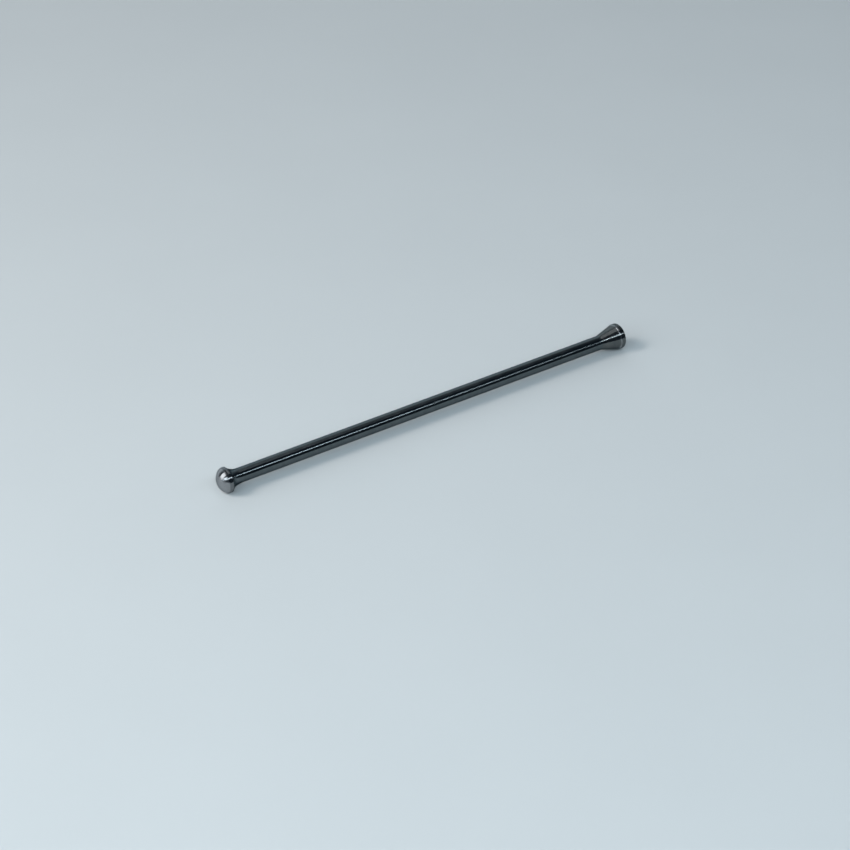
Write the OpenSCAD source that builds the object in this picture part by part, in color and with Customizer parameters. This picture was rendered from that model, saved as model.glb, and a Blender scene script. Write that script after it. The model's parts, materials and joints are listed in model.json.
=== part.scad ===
// Engine pushrod, one solid steel piece: a domed ball end, a plain stem and a conical cup end.
// It is turned about its own axis as one half section, then laid down to rest on its two rims.
// All sizes are in millimetres.

/* [Overall] */
// Length from the crown of the ball end to the mouth of the cup end
overall_l = 287; // [220:1:400]

/* [Stem] */
// Diameter of the plain stem
stem_d = 9; // [6:0.1:11]

/* [Ball end] */
// Diameter of the head at its rim
head_d = 15.6; // [13:0.1:20]
// Height of the spherical crown above the rim
crown_h = 4.6; // [3.4:0.1:6]
// Length of the straight rim behind the crown
rim_l = 1.8; // [0.6:0.1:4]
// Radius of the hollow neck that sweeps from the rim down to the stem
neck_r = 9.6; // [7:0.1:14]

/* [Cup end] */
// Diameter of the collar round the mouth
collar_d = 16.2; // [15.6:0.1:20]
// Length of the collar
collar_l = 4.3; // [2.8:0.1:6]
// Edge radius of the collar on the side of the cone
collar_edge_r = 1.2; // [0.4:0.1:1.4]
// Edge radius of the collar at the mouth
mouth_edge_r = 1.3; // [0.4:0.1:1.6]
// Height by which the collar stands proud of the cone
collar_step = 0.45; // [0.1:0.05:0.7]
// Length of the cone between the stem and the collar
cone_l = 11.3; // [8:0.1:20]

/* [Socket] */
// Diameter of the ball socket in the cup end
socket_d = 11; // [8:0.1:11.6]
// Length of the socket's straight wall between its round seat and its chamfer
socket_wall_l = 2.5; // [1:0.1:5]
// Width and depth of the chamfer at the socket's mouth
socket_chamfer = 0.7; // [0.3:0.1:1]

/* [Hidden] */
$fn = 128;

stem_r = stem_d / 2;
head_r = head_d / 2;
collar_r = collar_d / 2;
socket_r = socket_d / 2;

// Ball end: the crown's sphere goes through the rim, and the neck's arc ends tangent to the stem.
crown_r = (head_r ^ 2 + crown_h ^ 2) / (2 * crown_h);
neck_rise = head_r - stem_r;
neck_l = sqrt(neck_r ^ 2 - (neck_r - neck_rise) ^ 2);
head_l = crown_h + rim_l + neck_l;

// Cup end: heights above the crown of the collar, the cone and the centre of the socket's seat.
collar_z = overall_l - collar_l;
cone_z = collar_z - cone_l;
cone_end_r = collar_r - collar_step;
seat_z = overall_l - socket_chamfer - socket_wall_l;

// Cuts run this far past the surface that they open.
cut_past = 1;

// At rest the rod lies on the rim of its head and on the near end of its collar's straight band.
head_contact_z = crown_h;
collar_contact_z = collar_z + collar_edge_r;
lie_angle = atan2(collar_r - head_r, collar_contact_z - head_contact_z);
crown_lift = head_r * cos(lie_angle) - head_contact_z * sin(lie_angle);

// Half section of a plain round bar between two heights.
module bar_section(r, from_z, to_z) {
    polygon([[0, from_z], [r, from_z], [r, to_z], [0, to_z]]);
}

// Everything outside a quarter circle that is tangent to the two edges of a corner.
module corner_waste(r) {
    difference() {
        square(r + cut_past);
        circle(r);
    }
}

// Half section of the ball end: spherical crown, straight rim and hollow neck.
module head_section() {
    difference() {
        union() {
            intersection() {
                translate([0, crown_r]) circle(crown_r);
                bar_section(head_r, -cut_past, crown_r);
            }
            bar_section(head_r, crown_r, head_l);
        }
        translate([stem_r + neck_r, head_l]) circle(neck_r);
    }
}

// Half section of the plain stem.
module stem_section() {
    bar_section(stem_r, head_l, cone_z);
}

// Half section of the cone, which runs on straight into the collar.
module cone_section() {
    polygon([
        [0, cone_z],
        [stem_r, cone_z],
        [cone_end_r, collar_z],
        [cone_end_r, collar_z + collar_l / 2],
        [0, collar_z + collar_l / 2]
    ]);
}

// Half section of the collar, with its two outer edges rounded.
module collar_section() {
    difference() {
        bar_section(collar_r, collar_z, overall_l);
        translate([collar_r - mouth_edge_r, overall_l - mouth_edge_r]) corner_waste(mouth_edge_r);
        translate([collar_r - collar_edge_r, collar_contact_z]) mirror([0, 1]) corner_waste(collar_edge_r);
    }
}

// Half section of the socket: round seat, straight wall and chamfered mouth.
module socket_section() {
    translate([0, seat_z]) circle(socket_r);
    bar_section(socket_r, seat_z, overall_l + cut_past);
    polygon([
        [0, overall_l - socket_chamfer],
        [socket_r, overall_l - socket_chamfer],
        [socket_r + socket_chamfer + cut_past, overall_l + cut_past],
        [0, overall_l + cut_past]
    ]);
}

// Lays what stands on its crown along +X, so that both rims touch the ground at z = 0.
module lay_down() {
    translate([-overall_l / 2, 0, crown_lift]) rotate([0, 90 - lie_angle, 0]) children();
}

module pushrod() {
    color("dimgray") lay_down() rotate_extrude() difference() {
        union() {
            head_section();
            stem_section();
            cone_section();
            collar_section();
        }
        socket_section();
    }
}

pushrod();
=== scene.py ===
"""Engine pushrod on a pale floor: one turned steel rod with a domed ball end and a conical cup end.

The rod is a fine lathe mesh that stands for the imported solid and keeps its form. Its sizes are in
millimetres from the crown of the ball end along the rod's own axis, and everything else is in metres.
"""

import json
import math

import bmesh
import bpy
from mathutils import Matrix, Quaternion, Vector


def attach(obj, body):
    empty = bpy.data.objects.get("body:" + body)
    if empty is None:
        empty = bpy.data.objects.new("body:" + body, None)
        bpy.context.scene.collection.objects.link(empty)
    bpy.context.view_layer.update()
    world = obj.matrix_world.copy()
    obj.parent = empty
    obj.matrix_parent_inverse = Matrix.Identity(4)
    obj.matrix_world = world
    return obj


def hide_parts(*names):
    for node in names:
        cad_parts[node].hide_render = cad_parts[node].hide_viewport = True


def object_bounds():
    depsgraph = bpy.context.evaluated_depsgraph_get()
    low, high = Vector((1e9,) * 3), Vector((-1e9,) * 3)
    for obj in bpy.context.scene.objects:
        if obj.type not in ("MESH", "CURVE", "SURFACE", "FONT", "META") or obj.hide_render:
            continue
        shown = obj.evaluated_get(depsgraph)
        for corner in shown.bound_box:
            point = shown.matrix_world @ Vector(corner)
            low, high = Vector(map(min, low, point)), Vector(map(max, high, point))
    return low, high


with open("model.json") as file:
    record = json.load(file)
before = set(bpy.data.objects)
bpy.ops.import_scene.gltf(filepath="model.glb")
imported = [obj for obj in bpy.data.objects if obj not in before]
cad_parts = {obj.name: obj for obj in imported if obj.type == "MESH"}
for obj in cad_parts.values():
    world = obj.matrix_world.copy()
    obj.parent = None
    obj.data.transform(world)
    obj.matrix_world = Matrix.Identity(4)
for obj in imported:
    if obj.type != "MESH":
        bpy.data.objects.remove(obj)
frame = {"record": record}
cad_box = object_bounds()

MM = 0.001

# Stem and ball end
STEM_R = 4.5
HEAD_R = 7.8
CROWN_H = 4.6
RIM_L = 1.8
NECK_R = 9.6

# Cup end
COLLAR_R = 8.1
COLLAR_L = 4.3
COLLAR_EDGE_R = 1.2
MOUTH_EDGE_R = 1.3
COLLAR_STEP = 0.45
CONE_L = 11.3
SOCKET_CHAMFER = 0.7

# Rounded edges and the blend at the foot of the cone, as lengths taken off the surfaces that meet
CROWN_BREAK = 1.3
RIM_BREAK = 0.5
EDGE_BREAK = 0.22
MOUTH_BREAK = 0.11
CREASE_BLEND = 0.7

# Fineness of the lathe mesh
TURN_STEPS = 176
ARC_STEP = math.radians(2.0)
EDGE_STEPS = 6
STEM_RINGS = 48
CONE_RINGS = 14
RIM_RINGS = 4
FACE_RINGS = 2
WALL_RINGS = 4

# Photograph's camera, in its frame of 850 by 850 pixels
FRAME_PX = 850
FOCAL_PX = 2600
SENSOR_MM = 36.0
CAMERA_AT = Vector((-0.7254, -1.0734, 0.8488))
CAMERA_LOOK = Vector((0.4668, 0.6921, -0.5505))


def mount(name):
    """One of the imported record's mounts."""
    return next(m for m in frame["record"]["mounts"] if m["name"] == name)


BALL_END = mount("ball_end")
CUP_SOCKET = mount("cup_socket")
CROWN_AT = Vector(BALL_END["pos_m"])
ROD_AXIS = Vector(CUP_SOCKET["axis"]).normalized()

SOCKET_R = CUP_SOCKET["dims"]["r_mm"]
SOCKET_WALL_L = CUP_SOCKET["dims"]["length_mm"]
SOCKET_MID_Z = (Vector(CUP_SOCKET["pos_m"]) - CROWN_AT).dot(ROD_AXIS) / MM

CROWN_R = (HEAD_R ** 2 + CROWN_H ** 2) / (2 * CROWN_H)
RIM_END_Z = CROWN_H + RIM_L
NECK_RISE = HEAD_R - STEM_R
HEAD_L = RIM_END_Z + math.sqrt(NECK_R ** 2 - (NECK_R - NECK_RISE) ** 2)
SEAT_Z = SOCKET_MID_Z - SOCKET_WALL_L / 2
CHAMFER_Z = SOCKET_MID_Z + SOCKET_WALL_L / 2
MOUTH_Z = CHAMFER_Z + SOCKET_CHAMFER
COLLAR_Z = MOUTH_Z - COLLAR_L
CONE_Z = COLLAR_Z - CONE_L
CONE_END_R = COLLAR_R - COLLAR_STEP

# Heights at which the finishes of the crown, the neck and the stem end
FINISH_ENDS = (RIM_END_Z - EDGE_BREAK, HEAD_L, CONE_Z)

# Heights between which the crown's colour turns into the rim's, and the neck's into the stem's
CROWN_FADE = (3.5, 4.4)
NECK_FADE = (HEAD_L - 3.5, HEAD_L)

# Middle and half width of the painted highlight, a bright band on the collar's edge, and the share of it at
# full strength
HIGHLIGHT_Z = COLLAR_Z + 0.58
HIGHLIGHT_HALF_W = 0.5
HIGHLIGHT_CORE = 0.3

# Noise in the steel: repeats per metre in all directions, or across the rod, across it again and along it
SMUDGE_REPEATS = 130
BAND_REPEATS = (60, 60, 420)
SCRATCH_REPEATS = (2600, 2600, 45)
MARKS_ACROSS = 40

# How strongly the noise shows in the steel's colour, gloss and relief
SMUDGE_SHARE = 0.5
MARK_SHARE = 0.3
SCRATCH_SHARE = 0.25
GLOSS_SPREAD = 0.15
TONE_LIMITS = (0.35, 0.65)
GLOSS_LIMITS = (0.3, 0.7)
# Limits of the noise that breaks the painted highlight on the collar into patches
HIGHLIGHT_PATCH_LIMITS = (0.3, 0.6)

# Turn of the gloss, in whole turns, that lays its long side along the rod
GLOSS_TURN = 0.25

# Floor
FLOOR_HALF = 7.0
CLOUD_REPEATS = 9

# Colours of the lamps
WARM = (1.0, 0.9, 0.82)
WHITE = (0.96, 0.985, 1.0)
PALE_BLUE = (0.84, 0.94, 1.0)
SKY_BLUE = (0.70, 0.90, 1.0)

# Pale side of the room, and the limits between which the room turns pale towards it and dark at the left
PALE_SIDE = (0.259, 0.966, 0.0)
PALE_LIMITS = (0.3, 0.95)
LEFT_LIMITS = (-0.64, -0.48)


# Profile of the rod, as (radius, height) points

def arc(centre, radius, start, end):
    """Points of an arc, with its angles measured from the outward direction towards the cup end."""
    steps = max(2, math.ceil(abs(end - start) / ARC_STEP))
    angles = [start + (end - start) * i / steps for i in range(steps + 1)]
    return [(centre[0] + radius * math.cos(a), centre[1] + radius * math.sin(a)) for a in angles]


def line(start, end, steps=1):
    """Evenly spaced points of a straight stretch."""
    return [tuple(s + (e - s) * i / steps for s, e in zip(start, end)) for i in range(steps + 1)]


def trimmed(points, length, at_end):
    """A stretch with this length taken off its start or its end."""
    kept = list(reversed(points)) if at_end else list(points)
    left = length
    while len(kept) > 2 and math.dist(kept[0], kept[1]) <= left:
        left -= math.dist(kept[0], kept[1])
        kept.pop(0)
    share = left / math.dist(kept[0], kept[1])
    kept[0] = tuple(a + (b - a) * share for a, b in zip(kept[0], kept[1]))
    return list(reversed(kept)) if at_end else kept


def eased(before, after, length_before, length_after):
    """Joins two stretches with a round edge that takes these lengths off them at their corner."""
    corner = before[-1]
    before = trimmed(before, length_before, at_end=True)
    after = trimmed(after, length_after, at_end=False)
    edge = []
    for i in range(1, EDGE_STEPS):
        t = i / EDGE_STEPS
        edge.append(tuple(a * (1 - t) ** 2 + c * 2 * t * (1 - t) + b * t ** 2
                          for a, c, b in zip(before[-1], corner, after[0])))
    return before + edge + after


def ball_end_profile():
    """Crown, rim and neck, down to the stem."""
    crown_angle = math.asin(HEAD_R / CROWN_R)
    neck_angle = math.acos((NECK_R - NECK_RISE) / NECK_R)
    crown = arc((0, CROWN_R), CROWN_R, -math.pi / 2, -math.pi / 2 + crown_angle)
    rim = line((HEAD_R, CROWN_H), (HEAD_R, RIM_END_Z), RIM_RINGS)
    neck = arc((STEM_R + NECK_R, HEAD_L), NECK_R, math.pi + neck_angle, math.pi)
    head = eased(crown, rim, CROWN_BREAK, RIM_BREAK)
    return eased(head, neck, EDGE_BREAK, EDGE_BREAK)


def cup_end_profile():
    """The cone, and then the collar and the socket down to the bottom of its seat."""
    edge_angle = math.acos((CONE_END_R - COLLAR_R + COLLAR_EDGE_R) / COLLAR_EDGE_R)
    step_z = COLLAR_Z + COLLAR_EDGE_R * (1 - math.sin(edge_angle))
    cone = line((STEM_R, CONE_Z), (CONE_END_R, COLLAR_Z), CONE_RINGS)
    step = line((CONE_END_R, COLLAR_Z), (CONE_END_R, step_z))
    cone_edge = arc((COLLAR_R - COLLAR_EDGE_R, COLLAR_Z + COLLAR_EDGE_R), COLLAR_EDGE_R, -edge_angle, 0)
    mouth_edge = arc((COLLAR_R - MOUTH_EDGE_R, MOUTH_Z - MOUTH_EDGE_R), MOUTH_EDGE_R, 0, math.pi / 2)
    collar = step[:-1] + cone_edge + mouth_edge
    chamfer = line((SOCKET_R + SOCKET_CHAMFER, MOUTH_Z), (SOCKET_R, CHAMFER_Z), FACE_RINGS)
    face = line(mouth_edge[-1], chamfer[0], FACE_RINGS)
    wall = line(chamfer[-1], (SOCKET_R, SEAT_Z), WALL_RINGS)
    seat = arc((0, SEAT_Z), SOCKET_R, 0, -math.pi / 2)
    mouth = eased(face, chamfer, MOUTH_BREAK, MOUTH_BREAK)
    mouth = eased(mouth, wall, MOUTH_BREAK, MOUTH_BREAK)
    return cone, collar[1:] + mouth[1:] + seat[1:]


def rod_profile():
    """The whole half section from the crown to the bottom of the socket."""
    head = ball_end_profile()
    stem = line((STEM_R, HEAD_L), (STEM_R, CONE_Z), STEM_RINGS)
    cone, rest = cup_end_profile()
    return head + eased(stem, cone, CREASE_BLEND, CREASE_BLEND)[1:] + rest


def lathe(name, profile):
    """Mesh object turned about its own Z axis from a half section whose two ends lie on the axis."""
    bm = bmesh.new()
    first = bm.verts.new((0, 0, profile[0][1] * MM))
    last = bm.verts.new((0, 0, profile[-1][1] * MM))
    turns = [2 * math.pi * i / TURN_STEPS for i in range(TURN_STEPS)]
    rings = []
    for radius, height in profile[1:-1]:
        rings.append([bm.verts.new((radius * MM * math.cos(a), radius * MM * math.sin(a), height * MM))
                      for a in turns])
    for i in range(TURN_STEPS):
        j = (i + 1) % TURN_STEPS
        bm.faces.new((first, rings[0][j], rings[0][i]))
        bm.faces.new((last, rings[-1][i], rings[-1][j]))
        for low, high in zip(rings, rings[1:]):
            bm.faces.new((low[i], low[j], high[j], high[i]))
    mesh = bpy.data.meshes.new(name)
    bm.to_mesh(mesh)
    bm.free()
    mesh.shade_smooth()
    piece = bpy.data.objects.new(name, mesh)
    bpy.context.scene.collection.objects.link(piece)
    return piece


# Materials

class Nodes:
    """Short calls for the nodes that the materials and the room share."""

    def __init__(self, tree):
        self.tree = tree
        tree.nodes.clear()

    def put(self, socket, value):
        """Sets an input to a value, or links it to an output."""
        if isinstance(value, bpy.types.NodeSocket):
            self.tree.links.new(value, socket)
        else:
            socket.default_value = value

    def add(self, kind, inputs=None, **settings):
        """One node with its settings and its inputs."""
        node = self.tree.nodes.new(kind)
        for key, value in settings.items():
            setattr(node, key, value)
        for key, value in (inputs or {}).items():
            self.put(node.inputs[key], value)
        return node

    def math(self, operation, a, b=0.0):
        """One step of arithmetic on values."""
        return self.add("ShaderNodeMath", {0: a, 1: b}, operation=operation).outputs[0]

    def vector_math(self, operation, a, b, output):
        """One step of arithmetic on vectors."""
        return self.add("ShaderNodeVectorMath", {0: a, 1: b}, operation=operation).outputs[output]

    def blend(self, a, b, share):
        """Two values added up, with this share of the second."""
        return self.math("ADD", self.math("MULTIPLY", a, 1 - share), self.math("MULTIPLY", b, share))

    def ramp(self, value, low, high, to_low=0.0, to_high=1.0):
        """Smooth step of a value between two limits."""
        inputs = {"Value": value, "From Min": low, "From Max": high, "To Min": to_low, "To Max": to_high}
        return self.add("ShaderNodeMapRange", inputs, interpolation_type="SMOOTHSTEP").outputs["Result"]

    def noise(self, vector, scale, detail=2.0):
        """Noise with the same scale in all directions."""
        inputs = {"Vector": vector, "Scale": scale, "Detail": detail}
        return self.add("ShaderNodeTexNoise", inputs).outputs["Fac"]

    def stretched_noise(self, vector, scales):
        """Noise with its own scale along each axis."""
        return self.noise(self.vector_math("MULTIPLY", vector, scales, "Vector"), 1.0)

    def mix(self, share, first, second):
        """Colour between two colours."""
        node = self.add("ShaderNodeMix", data_type="RGBA")
        for key, value in (("Factor_Float", share), ("A_Color", first), ("B_Color", second)):
            self.put(next(s for s in node.inputs if s.identifier == key), value)
        return next(s for s in node.outputs if s.identifier == "Result_Color")


def rgb(red, green, blue):
    """Opaque colour."""
    return (red, green, blue, 1.0)


def new_material(name):
    """Empty node material and the calls for its nodes."""
    material = bpy.data.materials.new(name)
    material.use_nodes = True
    return material, Nodes(material.node_tree)


def faded(nodes, colour, tone, height, limits, later_tones):
    """A colour that turns into other tones between two heights."""
    start, end = limits
    return nodes.mix(nodes.ramp(height, start * MM, end * MM), colour, nodes.mix(tone, *later_tones))


def painted_highlight_band(nodes, colour, smudge, height, middle, half_width):
    """A colour with a painted highlight: a band round the rod made bright in patches, for the light that the
    collar's rounded edge catches.
    """
    # Painted highlight: a brighter base colour in a band, for the light caught on the collar's rounded edge
    off = nodes.math("ABSOLUTE", nodes.math("SUBTRACT", height, middle * MM))
    band = nodes.ramp(off, HIGHLIGHT_CORE * half_width * MM, half_width * MM, 1.0, 0.0)
    share = nodes.math("MULTIPLY", band, nodes.ramp(smudge, *HIGHLIGHT_PATCH_LIMITS))
    return nodes.mix(share, colour, rgb(0.42, 0.43, 0.44))


def turned_steel(name, tones, edge_tint, roughness, anisotropy, mark_pitch, mark_depth,
                 fade=None, painted_highlight=None):
    """Steel turned or ground about the rod's axis, with its lengths and heights in millimetres.

    The marks are rings across the axis, so the gloss spreads along the rod and stays narrow round it.
    A fade is (heights between which the colour changes, later tones).
    A painted highlight is (height, half width) of a bright band that stands in for light caught on an edge.
    """
    material, nodes = new_material(name)
    place = nodes.add("ShaderNodeTexCoord").outputs["Object"]
    height = nodes.add("ShaderNodeSeparateXYZ", {0: place}).outputs["Z"]
    marks = nodes.stretched_noise(place, (MARKS_ACROSS, MARKS_ACROSS, 1 / (mark_pitch * MM)))
    bands = nodes.stretched_noise(place, BAND_REPEATS)
    scratch = nodes.stretched_noise(place, SCRATCH_REPEATS)
    smudge = nodes.noise(place, SMUDGE_REPEATS, detail=4.0)

    tone = nodes.ramp(nodes.blend(bands, smudge, SMUDGE_SHARE), *TONE_LIMITS)
    tone = nodes.blend(tone, marks, MARK_SHARE)
    colour = nodes.mix(tone, *tones)
    if fade:
        colour = faded(nodes, colour, tone, height, *fade)
    if painted_highlight:
        colour = painted_highlight_band(nodes, colour, smudge, height, *painted_highlight)

    smooth, rough = roughness * (1 - GLOSS_SPREAD), roughness * (1 + GLOSS_SPREAD)
    relief = nodes.math("ADD", marks, nodes.math("MULTIPLY", scratch, SCRATCH_SHARE))
    bump = nodes.add("ShaderNodeBump", {"Height": relief, "Strength": 1.0, "Distance": mark_depth * MM})
    tangent = nodes.add("ShaderNodeTangent", direction_type="RADIAL", axis="Z")
    shader = nodes.add("ShaderNodeBsdfPrincipled", {
        "Base Color": colour,
        "Metallic": 1.0,
        "Specular Tint": edge_tint,
        "Roughness": nodes.ramp(smudge, *GLOSS_LIMITS, smooth, rough),
        "Normal": bump.outputs["Normal"],
        "Anisotropic": anisotropy,
        "Anisotropic Rotation": GLOSS_TURN,
        "Tangent": tangent.outputs["Tangent"],
    })
    nodes.add("ShaderNodeOutputMaterial", {"Surface": shader.outputs["BSDF"]})
    return material


def rod_materials():
    """Finishes of the crown with its rim, the neck, the stem and the cup end, in the order of FINISH_ENDS."""
    crown_tones = rgb(0.29, 0.295, 0.305), rgb(0.38, 0.386, 0.398)
    rim_tones = rgb(0.15, 0.16, 0.168), rgb(0.20, 0.21, 0.218)
    neck_tones = rgb(0.125, 0.146, 0.157), rgb(0.17, 0.194, 0.205)
    stem_tones = rgb(0.097, 0.114, 0.122), rgb(0.125, 0.143, 0.150)
    cup_tones = rgb(0.10, 0.112, 0.116), rgb(0.155, 0.162, 0.16)
    crown = turned_steel("ground_crown", crown_tones, rgb(0.6, 0.61, 0.63),
                         roughness=0.21, anisotropy=0.95, mark_pitch=0.28, mark_depth=0.003,
                         fade=(CROWN_FADE, rim_tones))
    neck = turned_steel("turned_neck", neck_tones, rgb(0.14, 0.152, 0.158),
                        roughness=0.2, anisotropy=0.95, mark_pitch=0.25, mark_depth=0.001,
                        fade=(NECK_FADE, stem_tones))
    stem = turned_steel("polished_stem", stem_tones, rgb(0.45, 0.47, 0.48),
                        roughness=0.19, anisotropy=0.9, mark_pitch=0.22, mark_depth=0.0007)
    # The cup end carries a painted highlight, a bright band on its collar's edge
    cup = turned_steel("turned_cup", cup_tones, rgb(0.42, 0.44, 0.45),
                       roughness=0.23, anisotropy=0.95, mark_pitch=0.3, mark_depth=0.002,
                       painted_highlight=(HIGHLIGHT_Z, HIGHLIGHT_HALF_W))
    return crown, neck, stem, cup


def make_rod():
    """The rod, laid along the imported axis, with each stretch in its own finish."""
    rod = lathe("pushrod_turned", rod_profile())
    turn = Vector((0, 0, 1)).rotation_difference(ROD_AXIS).to_matrix().to_4x4()
    rod.matrix_world = Matrix.Translation(CROWN_AT) @ turn
    for material in rod_materials():
        rod.data.materials.append(material)
    for face in rod.data.polygons:
        face.material_index = sum(face.center.z / MM > end for end in FINISH_ENDS)
    return rod


# Floor, light and camera

def floor_material():
    """Matt pale floor with faint clouds in its colour."""
    material, nodes = new_material("pale_floor")
    place = nodes.add("ShaderNodeTexCoord").outputs["Object"]
    cloud = nodes.noise(place, CLOUD_REPEATS)
    shader = nodes.add("ShaderNodeBsdfPrincipled", {
        "Base Color": nodes.mix(cloud, rgb(0.575, 0.605, 0.62), rgb(0.60, 0.63, 0.645)),
        "Roughness": 0.75,
        "Specular IOR Level": 0.2,
    })
    nodes.add("ShaderNodeOutputMaterial", {"Surface": shader.outputs["BSDF"]})
    return material


def make_floor():
    """Wide floor under the rod."""
    sides = [(-1, -1), (1, -1), (1, 1), (-1, 1)]
    corners = [(x * FLOOR_HALF, y * FLOOR_HALF, cad_box[0].z) for x, y in sides]
    mesh = bpy.data.meshes.new("floor")
    mesh.from_pydata(corners, [], [(0, 1, 2, 3)])
    mesh.materials.append(floor_material())
    floor = bpy.data.objects.new("floor", mesh)
    bpy.context.scene.collection.objects.link(floor)
    return floor


def direction(azimuth, elevation):
    """Unit vector at an azimuth from +X and an elevation, both in degrees."""
    a = math.radians(azimuth)
    e = math.radians(elevation)
    return Vector((math.cos(a) * math.cos(e), math.sin(a) * math.cos(e), math.sin(e)))


def area_light(name, watts, colour, size, azimuth, elevation, distance, target=(0, 0, 0), roll=0.0):
    """Rectangular lamp that faces its target, with its first side level before it is rolled."""
    lamp = bpy.data.lights.new(name, "AREA")
    lamp.shape = "RECTANGLE"
    lamp.size, lamp.size_y = size
    lamp.energy = watts
    lamp.color = colour
    light = bpy.data.objects.new(name, lamp)
    toward = direction(azimuth, elevation)
    light.location = Vector(target) + toward * distance
    turn = toward.to_track_quat("Z", "Y") @ Quaternion((0, 0, 1), math.radians(roll))
    light.rotation_euler = turn.to_euler()
    bpy.context.scene.collection.objects.link(light)
    return light


def make_floor_lights():
    """The key, which casts the shadow, and a soft sky. The metal doesn't mirror either."""
    key = area_light("key", 14.0, WARM, (0.75, 0.55), azimuth=163, elevation=44, distance=2.0)
    sky = area_light("sky", 15.6, SKY_BLUE, (1.6, 1.6), azimuth=-140, elevation=40, distance=2.0)
    for light in (key, sky):
        light.visible_glossy = False


def make_panels():
    """Soft panels round the rod, which its metal mirrors as broad lights and as the bright line along it."""
    area_light("window", 32.5, WHITE, (1.6, 2.5), azimuth=162.2, elevation=28, distance=3.2, roll=-6.0)
    area_light("top", 3.3, WHITE, (0.5, 1.4), azimuth=0, elevation=90, distance=2.0, target=(0.30, 0.28, 0))
    area_light("fill", 10.8, PALE_BLUE, (1.5, 0.66), azimuth=-166, elevation=22.5, distance=2.8, roll=39.0)
    area_light("band", 5.5, PALE_BLUE, (2.4, 0.36), azimuth=-90, elevation=41, distance=2.0,
               target=(-2.2, 0, 0))
    area_light("strip", 10.0, PALE_BLUE, (2.1, 0.09), azimuth=-90, elevation=42.5, distance=2.0,
               target=(0.03, 0, 0))
    area_light("far_strip", 22.0, PALE_BLUE, (6.0, 0.09), azimuth=-90, elevation=41, distance=2.0,
               target=(4.7, 0, 0))


def make_world():
    """Room that is pale low down at the back, and dark overhead, at the left and on the camera's side."""
    world = bpy.data.worlds.new("room")
    bpy.context.scene.world = world
    world.use_nodes = True
    nodes = Nodes(world.node_tree)
    way = nodes.add("ShaderNodeTexCoord").outputs["Generated"]
    back = nodes.vector_math("DOT_PRODUCT", way, PALE_SIDE, "Value")
    across = nodes.add("ShaderNodeSeparateXYZ", {0: way}).outputs["X"]
    share = nodes.math("MULTIPLY", nodes.ramp(back, *PALE_LIMITS), nodes.ramp(across, *LEFT_LIMITS))
    colour = nodes.mix(share, rgb(0.030, 0.045, 0.062), rgb(0.82, 0.93, 0.99))
    shader = nodes.add("ShaderNodeBackground", {"Color": colour, "Strength": 1.0})
    nodes.add("ShaderNodeOutputWorld", {"Surface": shader.outputs["Background"]})


def make_camera():
    """Camera of the photograph: level, and looking down on the rod from the side of its ball end."""
    lens = bpy.data.cameras.new("camera")
    lens.sensor_width = SENSOR_MM
    lens.lens = FOCAL_PX / FRAME_PX * SENSOR_MM
    camera = bpy.data.objects.new("camera", lens)
    camera.location = CAMERA_AT
    camera.rotation_euler = CAMERA_LOOK.to_track_quat("-Z", "Y").to_euler()
    bpy.context.scene.collection.objects.link(camera)
    bpy.context.scene.camera = camera


bpy.context.scene.view_settings.view_transform = "Standard"
make_camera()
make_world()
make_floor_lights()
make_panels()
make_floor()

rod = make_rod()
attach(rod, "root")
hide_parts("pushrod")
